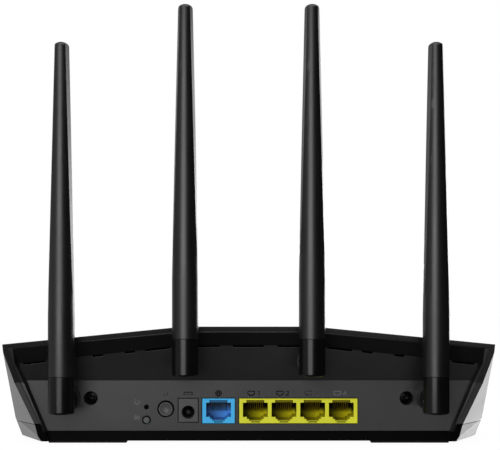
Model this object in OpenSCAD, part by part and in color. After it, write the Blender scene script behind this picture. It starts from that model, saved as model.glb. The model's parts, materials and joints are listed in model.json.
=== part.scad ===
// Desktop wireless router: faceted housing, framed rear panel with five network
// sockets, and four antennas that swivel and fold.
// X is the width, -Y the rear with the sockets, +Z up. Heights (h) are measured from
// the underside of the housing, and "out" is the distance behind the port panel.

/* [Housing] */
// Width across the two top rear corners
housing_w = 236.2; // [230:0.2:246]
// Depth from the rear rim to the nose
housing_d = 134; // [128:1:150]
// Height of the rear rim at its centre
rear_h = 56.2; // [55.4:0.1:60]
// Height of the rear corners
corner_h = 47.6; // [46.4:0.1:50]
// Upright edge below each rear corner
corner_edge_h = 3.7; // [3:0.1:5]
// Width of the flat centre strip of the roof at the rear
ridge_w = 62; // [50:1:72]
// Width of the flat centre strip of the roof at the front
ridge_front_w = 130; // [110:1:150]
// How far each side wall leans in towards the underside
side_lean_in = 3.2; // [1:0.1:5]
// How far each rear corner is cut in at the underside
corner_cut_in = 17.2; // [15:0.1:19.5]
// Height of the roof above the nose
roof_front_h = 22; // [20:0.5:26]
// Height of the nose edge
nose_h = 12; // [11:0.5:15]
// Wall of the housing
wall = 2; // [1.6:0.1:2.4]
// Height of the seam between tray and cover
seam_h = 8.6; // [8.1:0.1:10.4]
// Open line along the seam
seam_gap = 0.3; // [0.2:0.05:0.5]

/* [Rear rim] */
// How far the top of the rim stands behind the port panel
rim_out = 9; // [8:0.1:10]
// How far the upright part of the rim stands out
rim_mid_out = 4; // [3.4:0.1:4.6]
// How far the foot of the rim stands out
rim_base_out = 1; // [0.5:0.1:2]
// Height at which the rim starts to lean out
rim_crease_h = 28.9; // [27:0.1:31]
// Face width of the rim along its sides
rim_side_w = 3.9; // [3.5:0.1:4.6]
// Drop of the surround from the rim to the port panel
surround_drop = 7.2; // [6:0.1:8]

/* [Port panel] */
// Thickness of the panel
panel_t = 2; // [1.6:0.1:2.4]
// Height of the panel's lower edge
sill_h = 4.9; // [4.5:0.1:5.5]
// Height of the crease across the panel
panel_crease_h = 29.6; // [28.4:0.1:31]
// How far the panel leans out at its top
panel_lean_out = 4.5; // [4:0.1:5]
// Height of the vent line along the panel's top
vent_line_h = 46.9; // [46.5:0.1:47.3]
// Width of the vent line
vent_line_w = 0.8; // [0.6:0.1:1]
// Diameter of the swivel pads
pad_d = 12.8; // [12.8:0.1:13.4]
// How far the pads stand out
pad_out = 4.2; // [4.1:0.1:4.5]
// Diameter of the screw wells
well_d = 6.7; // [6.4:0.1:7.2]
// Depth of the screw wells
well_l = 6; // [5:0.5:7]
// Distance of each screw well in from the rear corners
well_in = 41.1; // [40.6:0.1:42.1]
// Height of the screw wells
well_h = 20.9; // [19:0.1:23]
// Clearance round each socket
socket_gap = 0.3; // [0.2:0.05:0.4]

/* [Sockets] */
// Width of one network port opening
port_w = 12.1; // [11.9:0.1:12.3]
// Spacing of the four ports in the block
port_pitch = 13.97; // [13.7:0.01:14.2]
// Height of the socket bodies
jack_h = 12.05; // [11.8:0.05:12.6]
// Depth of the socket bodies
jack_l = 16; // [15:0.5:18]
// Width of the single socket
wan_w = 15.8; // [15.2:0.1:16.4]
// Centre of the single socket
wan_x = -14.7; // [-15.2:0.1:-14.4]
// Width of the block of four sockets
lan_w = 57.6; // [57:0.1:58]
// Centre of the block of four sockets
lan_x = 24.2; // [24:0.1:25.6]
// Width of the power socket
dc_w = 9.5; // [9:0.1:10]
// Height of the power socket
dc_h = 11.4; // [11:0.1:12]
// Centre of the power socket
dc_x = -29.5; // [-29.9:0.1:-28.9]
// Diameter of the power socket's bore
dc_bore_d = 5.7; // [5.6:0.1:6.5]
// Diameter of the power socket's centre pin
dc_pin_d = 2.1; // [1.7:0.1:2.5]

/* [Buttons] */
// Centre of the power button
power_x = -40.4; // [-40.9:0.1:-39.9]
// Height of the power button
power_h = 15.7; // [15.4:0.1:16.9]
// Diameter of the power button
power_d = 7.2; // [6:0.1:7.4]
// Width of the power button's hole
power_hole_d = 8.2; // [7.8:0.1:8.4]
// Travel of the power button
power_travel = 1.5; // [1:0.1:2]
// Centre of the pairing and reset buttons
side_x = -49.8; // [-50.4:0.1:-49.4]
// Height of the pairing button
wps_h = 10.3; // [10.1:0.1:10.7]
// Diameter of the pairing button
wps_d = 2.9; // [2.6:0.1:3.1]
// Width of the pairing button's hole
wps_hole_d = 4.2; // [4:0.1:4.4]
// Height of the reset hole
reset_h = 16.6; // [16.3:0.1:17.9]
// Diameter of the reset hole
reset_hole_d = 2.3; // [2:0.1:2.6]
// Travel of the pairing and reset buttons
click_travel = 0.3; // [0.2:0.05:0.5]

/* [Antennas] */
// Overall length of an antenna
antenna_l = 175.3; // [160:1:190]
// Diameter of the antenna's straight part
rod_d = 12.5; // [12:0.1:12.8]
// Diameter of the antenna at its tip
tip_d = 7.5; // [6.8:0.1:8]
// Length of the tapered part
taper_l = 129; // [110:1:135]
// Length of the two flats below the tip
flat_l = 119; // [100:1:125]
// Depth of the flats at the tip
flat_depth = 0.7; // [0.3:0.05:0.9]
// Turn of the flats towards the rear
flat_turn = 14; // [5:1:35]
// Height of the domed tip
dome_h = 1.9; // [1.5:0.1:2.4]
// Length of the glossy sleeve
sleeve_l = 17.7; // [17:0.1:19]
// Height of the fold axis above the sleeve's foot
pivot_up = 5.9; // [5.6:0.1:6.3]
// Round at the sleeve's foot
foot_round = 1.2; // [0.8:0.1:1.6]
// Distance of the outer antennas in from the rear corners
outer_in = 29.8; // [28.1:0.1:30.1]
// Distance of the inner antennas from the centre
inner_x = 29.9; // [28:0.1:32]
// Height of the outer swivels
outer_h = 21.2; // [20.4:0.1:22.9]
// Height of the inner swivels
inner_h = 39; // [38.3:0.1:39.3]
// Clearance between an antenna and the rim
rim_gap = 0.8; // [0.6:0.1:2]
// Diameter of the swivel disc
disc_d = 12.3; // [11.8:0.1:12.6]
// Thickness of the swivel disc
disc_t = 1.3; // [1.1:0.1:1.6]
// Width of the arm's tongue
tongue_w = 4.8; // [4.4:0.1:5.2]
// Radius of the tongue's round end
tongue_r = 4.4; // [4:0.1:4.6]
// Diameter of the swivel shaft
shaft_d = 7; // [6.6:0.1:7.4]
// Diameter of the cable way in the shaft
shaft_bore_d = 3.4; // [3:0.1:3.8]
// Diameter of the hinge pin
pin_d = 2.5; // [2:0.1:3]
// Diameter of the antenna leads
lead_d = 1.4; // [1.1:0.1:1.6]

/* [Board] */
// Gap between the circuit board's sides and the screw posts
board_side_gap = 2.5; // [2:0.1:5]
// Depth of the circuit board
board_d = 95; // [90:1:100]
// Thickness of the circuit board
board_t = 1.5; // [1.2:0.1:1.6]
// Height of the board's upper face
board_h = 8.7; // [8.6:0.05:8.8]

/* [Underside] */
// Width of each foot
foot_w = 38; // [30:1:42]
// Depth of each foot
foot_d = 9; // [7:0.5:11]
// Height of the feet below the housing
foot_h = 1.2; // [0.8:0.1:2]
// Distance of the feet's middle in from the rear corners
foot_in = 39.1; // [36.6:0.5:44.6]
// Spacing of the two wall hooks
hook_spacing = 96; // [90:1:100]
// Width of the round end of a wall hook slot
hook_d = 8; // [7:0.5:9]
// Width of the narrow end of a wall hook slot
hook_neck_w = 4.2; // [3.6:0.1:4.6]
// Width of a vent slot
vent_w = 2.2; // [1.6:0.1:2.6]
// Spacing of the vent slots
vent_pitch = 5; // [4.5:0.1:6]

/* [Hidden] */
$fn = 48;

// colours
shell_black = [0.07, 0.07, 0.075];
panel_grey = [0.2, 0.2, 0.21];
gloss_black = [0.04, 0.04, 0.045];
rubber_grey = [0.13, 0.13, 0.13];
steel = [0.72, 0.73, 0.75];
gold = [0.85, 0.68, 0.32];
board_green = [0.08, 0.3, 0.16];
socket_blue = [0.16, 0.6, 0.9];
socket_yellow = [0.85, 0.86, 0.12];

// fits
fit_gap = 0.1;          // between fixed pieces that nest
run_gap = 0.08;         // radial, round a turning shaft or pin
slot_gap = 0.35;        // between a tongue and its slot
overcut = 1;            // how far a cutter passes the face that it opens
reach = 400;            // larger than the whole object

// the port panel's plane, with the origin under the middle of the whole object
antenna_out = rim_out + rod_d / 2 + rim_gap;
overall_d = antenna_out + rod_d / 2 - rim_out + housing_d;
panel_y = antenna_out + rod_d / 2 - overall_d / 2;

function at(x, out, h) = [x, panel_y - out, foot_h + h];
function flip(p) = [-p.x, p.y, p.z];
function lerp(a, b, t) = a + (b - a) * t;

// corner points of the housing's right half
nose_out = rim_out - housing_d;
roof_front_out = nose_out + 6;
outer_x = housing_w / 2 - outer_in;
well_x = housing_w / 2 - well_in;
foot_x = housing_w / 2 - foot_in;
ridge_rear = at(ridge_w / 2, rim_out, rear_h);
ridge_front = at(ridge_front_w / 2, roof_front_out, roof_front_h);
corner_low_h = corner_h - corner_edge_h;
rim_lean = (rim_out - rim_mid_out) / (rear_h - rim_crease_h);
corner_top = at(housing_w / 2, rim_mid_out + rim_lean * (corner_h - rim_crease_h), corner_h);
corner_low = at(housing_w / 2, rim_mid_out + rim_lean * (corner_low_h - rim_crease_h), corner_low_h);
rear_base_w = housing_w - 2 * corner_cut_in;
side_base_x = housing_w / 2 - side_lean_in;
corner_base = at(rear_base_w / 2, rim_base_out, 0);
facet_base = corner_base + [1, 0, 0];   // where the cover's facet would reach the underside
side_base_l = 20;           // how far the cut rear corners run forward at the underside
side_base = at(side_base_x, -side_base_l, 0);
side_kink = at(side_base_x + 0.6, -9, 9.9);
side_front = at(housing_w / 2 - 5.5, nose_out + 9, nose_h);
chin = at(0, roof_front_out, 0);
nose_corner_in = 31.5;      // from the rear corners to the ends of the nose edge
nose_corner_l = 32;         // how far the cut front corners run back along the sides
middle = at(0, -50, nose_h);

function across(p) = [p + [0, 0, 0], p + [10, 0, 0]];
faces_centre = [
    concat(across(at(0, rim_out, rear_h)), [at(0, roof_front_out, roof_front_h)]),
    concat(across(at(0, roof_front_out, roof_front_h)), [at(0, nose_out, nose_h)]),
    concat(across(at(0, nose_out, nose_h)), [chin])];
faces_right = [
    [ridge_rear, corner_top, ridge_front],
    [corner_low, side_base, side_front],
    [corner_low, side_kink, facet_base],
    [side_kink, side_base, corner_base],
    [at(housing_w / 2 - 5, nose_out + nose_corner_l, nose_h),
        at(housing_w / 2 - nose_corner_in, nose_out, nose_h),
        at(housing_w / 2 - nose_corner_in - 4, roof_front_out, roof_front_h)]];
housing_faces = concat(faces_centre, faces_right,
    [for (f = faces_right) [flip(f[0]), flip(f[1]), flip(f[2])]]);

function raw_normal(f) = cross(f[1] - f[0], f[2] - f[0]);
function normal(f) = let (n = raw_normal(f)) n / norm(n) * sign(n * (f[0] - middle));

// everything beyond a flat face that has been moved inwards by inset
module beyond(face, inset) {
    n = normal(face);
    translate(face[0] - n * inset)
        rotate([0, acos(n.z), atan2(n.y, n.x)])
            translate([-reach / 2, -reach / 2, 0]) cube(reach);
}

// the housing as a faceted solid, its faces moved inwards by inset
module housing_form(inset = 0) {
    difference() {
        translate([-reach / 2, panel_y - rim_out - 3, foot_h + inset])
            cube([reach, housing_d + 10, rear_h + 3]);
        for (f = housing_faces) beyond(f, inset);
    }
}

// a side view drawn as [out, h] points and extruded over a width w centred on x
module side_strip(x, w, points) {
    translate([x - w / 2, 0, 0]) rotate([90, 0, 90]) linear_extrude(w)
        polygon([for (p = points) [panel_y - p[0], foot_h + p[1]]]);
}

module side_view(points) {
    side_strip(0, reach, points);
}

// a rear view drawn as [x, h] points and extruded from one distance out to another
module rear_view(points, from_out, to_out) {
    translate([0, panel_y - from_out, foot_h]) rotate([90, 0, 0])
        linear_extrude(to_out - from_out) polygon(points);
}

// a round bar along Y from one distance out to another
module bar(x, h, d, from_out, to_out) {
    translate(at(x, from_out, h)) rotate([90, 0, 0]) cylinder(d = d, h = to_out - from_out);
}

// a block from one distance out to another, centred on x, standing on height h
module block(x, w, from_out, to_out, h, tall) {
    translate(at(x - w / 2, to_out, h)) cube([w, to_out - from_out, tall]);
}

// a post standing on height h
module post(x, out, h, d, tall) {
    translate(at(x, out, h)) cylinder(d = d, h = tall);
}

// the space inside the rear face of the rim, from the table up
module behind_rim() {
    side_view([[rim_base_out, 0], [rim_mid_out, seam_h], [rim_mid_out, rim_crease_h],
        [rim_out, rear_h], [rim_out, rear_h + 10], [nose_out - 10, rear_h + 10], [nose_out - 10, 0]]);
}

// the panel's outer face leans out above its crease
panel_lean = panel_lean_out / (vent_line_h - panel_crease_h);
function panel_out(h) = max(0, panel_lean * (h - panel_crease_h));

module between_seams(low, high) {
    translate(at(-reach / 2, rim_out + 5, low)) cube([reach, housing_d + 20, high - low]);
}

// ---- tray ----
case_screw_in = 17.5;       // from the rear corners
case_screw_out = [-26, -90];
screw_spots = [for (out = case_screw_out) [housing_w / 2 - case_screw_in, out]];
rear_post_w = 9;
rear_post_t = 8;
rear_post_up = 5;           // above the screw's axis
board_rear_out = -2.6;
board_w = 2 * (well_x - rear_post_w / 2 - board_side_gap);
board_screw_side = 8;       // from the board's sides
board_screw_rear = 22;      // from its rear edge
board_screw_front = 9.5;    // from its front edge
board_spots = [for (out = [-board_screw_rear, board_screw_front - board_d])
    [board_w / 2 - board_screw_side, board_rear_out + out]];
board_post_d = 6;
board_screw_d = 2;
boss_d = 8;
head_d = 5.6;
head_h = 2;
shank_d = 2.8;
boss_top_h = 13;
head_seat_h = 4;
pilot_d = 2.4;

module bottom_case() {
    color(shell_black) difference() {
        union() {
            difference() {
                intersection() {
                    housing_form();
                    behind_rim();
                    between_seams(0, seam_h);
                }
                housing_form(wall);
            }
            tray_lip();
            tray_sill();
            intersection() {
                housing_form(fit_gap);
                tray_posts();
            }
        }
        tray_cuts();
    }
}

// a thin lip that the cover slides over, thickened below the seam where it joins the wall
module tray_lip() {
    lip_rise = 2;
    lip_root_l = 1.5;
    lip_t = 1.1;
    difference() {
        union() {
            lip_band(wall + fit_gap, seam_h, seam_h + lip_rise);
            lip_band(wall / 2, seam_h - lip_root_l, seam_h);
        }
        housing_form(wall + fit_gap + lip_t);
    }
}

module lip_band(inset, low, high) {
    rear_end = -4;
    intersection() {
        housing_form(inset);
        between_seams(low, high);
        side_view([[rear_end, 0], [rear_end, rear_h], [nose_out - 5, rear_h], [nose_out - 5, 0]]);
    }
}

// the low wall that the port panel stands on
module tray_sill() {
    sill_t = 4;
    intersection() {
        housing_form();
        behind_rim();
        block(0, housing_w, -sill_t, rim_out, 0, sill_h);
    }
}

// the sill stands back between the feet of the rim
sill_back = 1.3;

module sill_recess() {
    rear_view(both_sides([[rim_inner_x(seam_h), seam_h], [rim_inner_x(-overcut), -overcut]]),
        -sill_back, rim_out);
}

module tray_posts() {
    for (s = [-1, 1]) {
        for (p = screw_spots) post(s * p[0], p[1], 0, boss_d, boss_top_h);
        for (p = board_spots) post(s * p[0], p[1], 0, board_post_d, board_h - board_t);
        block(s * well_x, rear_post_w, -well_l - panel_t - rear_post_t, -well_l - panel_t,
            0, well_h + rear_post_up);
    }
}

hook_out = -60;
hook_l = 11;
foot_rear_out = -2.5;
foot_front_out = nose_out + 22;
foot_pocket = 0.8;
floor_vent_l = 26;

module tray_cuts() {
    sill_recess();
    for (s = [-1, 1]) {
        for (p = screw_spots) {
            post(s * p[0], p[1], -overcut, head_d + 0.6, head_seat_h + overcut);
            post(s * p[0], p[1], 0, shank_d + 0.5, boss_top_h + overcut);
        }
        for (p = board_spots) post(s * p[0], p[1], wall + 0.6, board_screw_d + 0.2, board_h);
        bar(s * well_x, well_h, pilot_d, -well_l - panel_t - rear_post_t - overcut, 0);
        for (out = [foot_rear_out, foot_front_out])
            translate([0, 0, -overcut]) foot_block(s, out, foot_pocket + overcut);
        // wall hook: a round entry and a narrow slot towards the rear
        post(s * hook_spacing / 2, hook_out, -overcut, hook_d, wall + 2 * overcut);
        block(s * hook_spacing / 2, hook_neck_w, hook_out, hook_out + hook_l, -overcut, wall + 2 * overcut);
        post(s * hook_spacing / 2, hook_out + hook_l, -overcut, hook_neck_w, wall + 2 * overcut);
    }
    for (i = [-7:7], out = [-44, -94])
        block(i * vent_pitch, vent_w, out, out + floor_vent_l, -overcut, wall + 2 * overcut);
}

module foot_block(s, out, tall) {
    block(s * foot_x, foot_w, out - foot_d, out, 0, tall);
}

module rubber_feet() {
    color(rubber_grey) for (s = [-1, 1], out = [foot_rear_out, foot_front_out])
        translate([0, 0, -foot_h]) foot_block(s, out, foot_h + foot_pocket);
}

// ---- cover ----
side_vent_l = 15;
side_vent_step = 0.75;      // each slot is this much shorter than the one behind it
side_vent_out = -30;
side_vent_lean = 18;
side_vent_count = floor((side_vent_out - nose_out - nose_corner_l - vent_pitch) / vent_pitch);
light_x = [-25, -15, -5, 5, 15, 25];
light_out = -88;
light_w = 1.6;
light_l = 5;

module top_cover() {
    color(shell_black) difference() {
        union() {
            difference() {
                intersection() {
                    housing_form();
                    behind_rim();
                    between_seams(seam_h + seam_gap, rear_h + 5);
                }
                housing_form(wall);
            }
            intersection() {
                housing_form(wall / 2);
                for (s = [-1, 1], p = screw_spots)
                    post(s * p[0], p[1], boss_top_h, boss_d, rear_h);
            }
        }
        for (s = [-1, 1], p = screw_spots) post(s * p[0], p[1], boss_top_h - overcut, shank_d, 7);
        for (x = light_x)
            block(x, light_w + 2 * fit_gap, light_out - fit_gap, light_out + light_l + fit_gap,
                roof_front_h, rear_h);
        side_vents();
    }
}

// slots through both side walls, leaning with the roof
module side_vents() {
    depth = 16;
    for (s = [-1, 1], i = [0:side_vent_count - 1])
        translate(at((s * housing_w - depth) / 2, side_vent_out - i * vent_pitch, seam_h + 6))
            rotate([side_vent_lean, 0, 0]) cube([depth, vent_w, side_vent_l - i * side_vent_step]);
}

// ---- rear frame and port panel ----
rim_turn_h = corner_h - 7.4;        // foot of the opening's upright corners
rim_slope = (housing_w - rear_base_w) / 2 / rim_turn_h;
function rim_inner_x(h) = rear_base_w / 2 - rim_side_w + rim_slope * h;
surround_side_in = 3.8;             // how far the surround narrows at the top corners
surround_foot_in = 1.2;             // and at its foot
wide_x = rim_inner_x(rim_turn_h);
deep_x = wide_x - surround_side_in;
rim_top_h = rear_h - wall - fit_gap;
rim_corner_h = corner_h - wall + fit_gap;
rim_corner_out = rim_mid_out + rim_lean * (rim_corner_h - rim_crease_h);
surround_per_out = surround_drop / (rim_out - panel_lean_out);
surround_low_h = rim_top_h - surround_per_out * rim_out;
// the surround's sloping part is one flat face, carried on to the rim's furthest plane
wide_corner_h = rim_corner_h + surround_per_out * (rim_out - rim_corner_out);
surround_fall = (rim_top_h - wide_corner_h) / (wide_x - ridge_w / 2);

// the tapered opening inside the rim: wide at the rim, smaller at the panel
module rim_opening() {
    wide = [[ridge_w / 2, rim_top_h], [wide_x, wide_corner_h], [wide_x, rim_turn_h], [rim_inner_x(0), 0]];
    deep = [[ridge_w / 2, surround_low_h],
        [deep_x, surround_low_h - surround_fall * (deep_x - ridge_w / 2)],
        [rim_inner_x(0) - surround_foot_in, 0]];
    hull() {
        rear_view(both_sides(wide), rim_out, rim_out + 0.01);
        rear_view(both_sides(deep), -0.01, 0);
    }
    rear_view(both_sides(wide), rim_out, rim_out + 5);
}

function both_sides(points) = concat(points,
    [for (i = [len(points) - 1:-1:0]) [-points[i][0], points[i][1]]]);

module rear_frame() {
    color(shell_black) difference() {
        intersection() {
            housing_form(wall + fit_gap);
            behind_rim();
            side_view([[0, sill_h + fit_gap], [0, panel_crease_h],
                [panel_out(rear_h), rear_h], [rim_out + 5, rear_h + 5], [rim_out + 5, sill_h + fit_gap]]);
        }
        rim_opening();
    }
}

// the panel as a bent plate
module panel_plate() {
    intersection() {
        housing_form(wall + fit_gap);
        side_view([[0, sill_h + fit_gap], [0, panel_crease_h], [panel_out(rear_h), rear_h],
            [panel_out(rear_h) - panel_t, rear_h], [-panel_t, panel_crease_h], [-panel_t, sill_h + fit_gap]]);
    }
}

// vent slots just under the surround, each from one distance beside the centre to another
vent_runs = [[0, 7.5], [14, 24.5], [38, 50.2], [55, 60], [70.5, 75.5],
    [housing_w / 2 - 19.5, housing_w / 2 - 8.5]];
vent_tilt = atan((rear_h - corner_h) / (housing_w - ridge_w) * 2) + 0.7;

module vent_line() {
    for (s = [0, 1], run = vent_runs) mirror([s, 0, 0]) {
        sloping = run[0] > ridge_w / 2;
        drop = sloping ? (run[0] - ridge_w / 2) * tan(vent_tilt) : 0;
        translate(at(run[0], panel_lean_out + overcut, vent_line_h - drop))
            rotate([0, sloping ? vent_tilt : 0, 0]) translate([0, 0, -vent_line_w])
                cube([run[1] - run[0], panel_lean_out + panel_t + 3 * overcut, vent_line_w]);
    }
}

well_wall = 0.8;
rear_shank_d = 2.2;
swivels = [[-outer_x, outer_h], [-inner_x, inner_h], [inner_x, inner_h], [outer_x, outer_h]];

module rear_panel() {
    color(panel_grey) difference() {
        union() {
            panel_plate();
            for (p = swivels) bar(p[0], p[1], pad_d, -panel_t, pad_out);
            for (s = [-1, 1])
                bar(s * well_x, well_h, well_d + 2 * well_wall, -well_l - panel_t, -panel_t / 2);
        }
        for (p = swivels) bar(p[0], p[1], shaft_d + 2 * run_gap, -panel_t - overcut, pad_out + overcut);
        for (s = [-1, 1]) {
            bar(s * well_x, well_h, well_d, -well_l, overcut);
            bar(s * well_x, well_h, rear_shank_d + 1.2, -well_l - panel_t - overcut, 0);
        }
        window(wan_x, wan_w, board_h, jack_h);
        window(lan_x, lan_w, board_h, jack_h);
        window(dc_x, dc_w, dc_foot_h, dc_h);
        bar(power_x, power_h, power_hole_d, -panel_t - overcut, overcut);
        bar(side_x, wps_h, wps_hole_d, -panel_t - overcut, overcut);
        bar(side_x, reset_h, reset_hole_d, -panel_t - overcut, overcut);
        vent_line();
    }
}

module window(x, w, h, tall) {
    block(x, w + 2 * socket_gap, -panel_t - overcut, overcut, h - socket_gap, tall + 2 * socket_gap);
}

// ---- fasteners ----
module case_screws() {
    shank_l = 14;
    color(steel) for (s = [-1, 1], p = screw_spots) {
        post(s * p[0], p[1], head_seat_h - head_h, head_d, head_h);
        post(s * p[0], p[1], head_seat_h - head_h, shank_d - 2 * fit_gap, shank_l);
    }
}

module rear_screws() {
    tip_out = -well_l - panel_t - rear_post_t + 1;
    color(steel) for (s = [-1, 1]) {
        bar(s * well_x, well_h, head_d, -well_l, -well_l + head_h);
        bar(s * well_x, well_h, rear_shank_d, tip_out, -well_l + 1);
    }
}

module board_screws() {
    board_head_d = 5;
    board_head_h = 1.6;
    board_shank_l = 4.4;
    color(steel) for (s = [-1, 1], p = board_spots) {
        post(s * p[0], p[1], board_h, board_head_d, board_head_h);
        post(s * p[0], p[1], board_h + 1 - board_shank_l, board_screw_d, board_shank_l);
    }
}

// ---- board and what stands on it ----
module main_board() {
    color(board_green) difference() {
        block(0, board_w, board_rear_out - board_d, board_rear_out, board_h - board_t, board_t);
        for (s = [-1, 1], p = board_spots) post(s * p[0], p[1], 0, board_screw_d + 1, board_h + overcut);
    }
}

// the opening of one network socket, wide for the plug and stepped in below for its latch
port_h = 6.95;
port_floor = 3.07;          // of the wide part, above the foot of the socket body
contact_bay_w = 8.7;
contact_bay_h = 1.3;
latch_w = 8.2;
latch_h = 0.97;
latch_catch_w = 6.1;
latch_catch_h = 0.85;
catch_slot_w = 4.3;
catch_slot_h = 0.5;
port_back = 3;              // wall behind the opening

module port_opening(x) {
    floor_h = board_h + port_floor;
    catch_h = floor_h - latch_h - latch_catch_h;
    depth = port_back - jack_l;
    block(x, port_w, depth, overcut, floor_h, port_h);
    block(x, contact_bay_w, depth, overcut, floor_h, port_h + contact_bay_h);
    block(x, latch_w, depth, overcut, floor_h - latch_h, port_h);
    block(x, latch_catch_w, depth, overcut, catch_h, port_h);
    block(x, catch_slot_w, -2, overcut, catch_h - 0.35 - catch_slot_h, catch_slot_h);
}

module wan_jack() {
    color(socket_blue) jack(wan_x, wan_w, [wan_x]);
}

lan_ports = [for (i = [-1.5:1.5]) lan_x + i * port_pitch];

module lan_jacks() {
    color(socket_yellow) jack(lan_x, lan_w, lan_ports);
}

module jack(x, w, ports) {
    difference() {
        block(x, w, -jack_l, 0, board_h, jack_h);
        for (p = ports) port_opening(p);
    }
}

// eight sprung wires in each socket, flat under its ceiling and then down towards the back
contact_pitch = 1.02;
contact_w = 0.4;
contact_root_l = 1.4;
contact_drop = 3.2;
contact_back = 3;           // from the wires' ends to the back of the opening

module jack_contacts() {
    ceiling = board_h + port_floor + port_h + contact_bay_h;
    bend = -1 - contact_root_l;
    tip = port_back + contact_back - jack_l;
    wire = [[-1, ceiling], [bend, ceiling], [tip, ceiling - contact_drop],
        [tip, ceiling - contact_drop - contact_w], [bend, ceiling - contact_w], [-1, ceiling - contact_w]];
    color(gold) for (x = concat([wan_x], lan_ports), i = [-3.5:3.5])
        side_strip(x + i * contact_pitch, contact_w, wire);
}

dc_l = 14;
dc_bore_l = 11;
dc_mouth_l = 1.2;
dc_mouth_d = dc_bore_d + 0.7;
dc_pin_root_l = 1.5;
dc_pin_back = 1;            // from the panel's face to the pin's tip
dc_raise = 0.6;             // of the body above the board, on a narrower foot
dc_foot_in = 1;
dc_foot_h = board_h + dc_raise;
dc_axis_h = dc_foot_h + dc_h / 2 - 0.9;

module dc_jack() {
    color(panel_grey) difference() {
        union() {
            block(dc_x, dc_w, -dc_l, 0, dc_foot_h, dc_h);
            block(dc_x, dc_w - 2 * dc_foot_in, -dc_l, -panel_t - dc_foot_in, board_h, dc_raise + 1);
        }
        bar(dc_x, dc_axis_h, dc_bore_d, -dc_bore_l, overcut);
        bar(dc_x, dc_axis_h, dc_pin_d + fit_gap, -dc_bore_l - dc_pin_root_l, 0);
        translate(at(dc_x, -dc_mouth_l, dc_axis_h)) rotate([90, 0, 0])
            cylinder(d1 = dc_bore_d, d2 = dc_mouth_d, h = dc_mouth_l + 0.01);
    }
}

module dc_jack_pin() {
    color(steel) bar(dc_x, dc_axis_h, dc_pin_d, -dc_bore_l - dc_pin_root_l, -dc_pin_back);
}

// ---- buttons and switches ----
switch_out = -8;            // front of the power switch
switch_w = 7.6;
switch_l = 9;
stem_d = 2.6;
stem_l = 3;                 // inside the switch
cap_l = 5;
cap_out = 0.9;              // how far the cap stands out
dish_r = 11;
dish_l = 0.5;
tact_out = -4.2;            // front of the two small switches
tact_w = 6;
tact_l = 4.8;
plunger_l = 1.4;            // inside the small switches
plunger_d = 1.8;

module power_button() {
    color(shell_black) difference() {
        union() {
            bar(power_x, power_h, power_d, -cap_l, cap_out);
            bar(power_x, power_h, stem_d, switch_out - stem_l, -cap_l + 1);
        }
        translate(at(power_x, cap_out + dish_r - dish_l, power_h)) sphere(dish_r);
    }
}

module power_switch() {
    color(gloss_black) difference() {
        block(power_x, switch_w, switch_out - switch_l, switch_out,
            board_h, power_h - board_h + switch_w / 2);
        bar(power_x, power_h, stem_d + 0.6, switch_out - stem_l - power_travel - 1, switch_out + overcut);
    }
}

module wps_button() {
    wps_out = 0.4;
    color(shell_black) {
        bar(side_x, wps_h, wps_d, tact_out + click_travel + 0.5, wps_out);
        bar(side_x, wps_h, plunger_d, tact_out - plunger_l, tact_out + click_travel + 1);
    }
}

module plunger_hole(h) {
    bar(side_x, h, plunger_d + 0.8, tact_out - plunger_l - click_travel - 0.5, tact_out + overcut);
}

module wps_switch() {
    wps_up = 1.9;
    color(gloss_black) difference() {
        block(side_x, tact_w, tact_out - tact_l, tact_out, board_h, wps_h - board_h + wps_up);
        plunger_hole(wps_h);
    }
}

module reset_button() {
    color(shell_black) bar(side_x, reset_h, plunger_d, tact_out - plunger_l, tact_out + 1.3);
}

// a small switch on two legs, above the pairing switch
module reset_switch() {
    leg_w = 1.4;
    leg_t = 1.8;
    color(gloss_black) difference() {
        union() {
            block(side_x, tact_w, tact_out - tact_l, tact_out, reset_h - tact_w / 2, tact_w);
            for (s = [-1, 1])
                block(side_x + s * (tact_w - leg_w) / 2, leg_w,
                    tact_out - tact_l - leg_t, tact_out - tact_l, board_h, reset_h - board_h + 1);
        }
        plunger_hole(reset_h);
    }
}

// ---- electronics ----
chip_out = -62;             // middle of the processor and its heat sink
chip_w = 17;
chip_t = 1.6;
sink_w = 38;
sink_base_t = 2.4;
fin_h = 8.8;
fin_t = 1.4;
fins = 9;
memory_x = 32;
memory_out = -78;
memory_w = 8;
memory_l = 12;
memory_t = 1.2;
shield_x = 46;
shield_out = -52;
shield_w = 30;
shield_h = 3.4;
shield_t = 0.4;
magnetics_x = [-16, 12, 37];
magnetics_out = -28.5;
magnetics_w = 20;
magnetics_l = 7;
magnetics_h = 6;
capacitor_spots = [[-42, -26], [-32.5, -29.5], [-44, -80], [44, -80]];
capacitor_d = 8;
capacitor_h = 11.5;
led_w = 1.6;
led_l = 3;
led_h = 0.8;
rail_w = 56;
rail_t = 1.6;
rail_up = 4;
rail_h = 3;

// a block with its middle at [x, out], on the board
module on_board(x, out, w, l, tall, up = 0) {
    block(x, w, out - l / 2, out + l / 2, board_h + up, tall);
}

module main_chip() {
    color(gloss_black) on_board(0, chip_out, chip_w, chip_w, chip_t);
}

module heat_sink() {
    fin_pitch = (sink_w - fin_t) / (fins - 1);
    color([0.6, 0.61, 0.63]) {
        on_board(0, chip_out, sink_w, sink_w, sink_base_t, chip_t);
        for (i = [0:fins - 1])
            on_board((i - (fins - 1) / 2) * fin_pitch, chip_out, fin_t, sink_w,
                sink_base_t + fin_h, chip_t);
    }
}

module memory_chips() {
    color(gloss_black) for (s = [-1, 1]) on_board(s * memory_x, memory_out, memory_w, memory_l, memory_t);
}

module rf_shields() {
    color(steel) for (s = [-1, 1]) difference() {
        on_board(s * shield_x, shield_out, shield_w, shield_w, shield_h);
        on_board(s * shield_x, shield_out, shield_w - 2 * shield_t, shield_w - 2 * shield_t,
            shield_h - shield_t + overcut, -overcut);
    }
}

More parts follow.
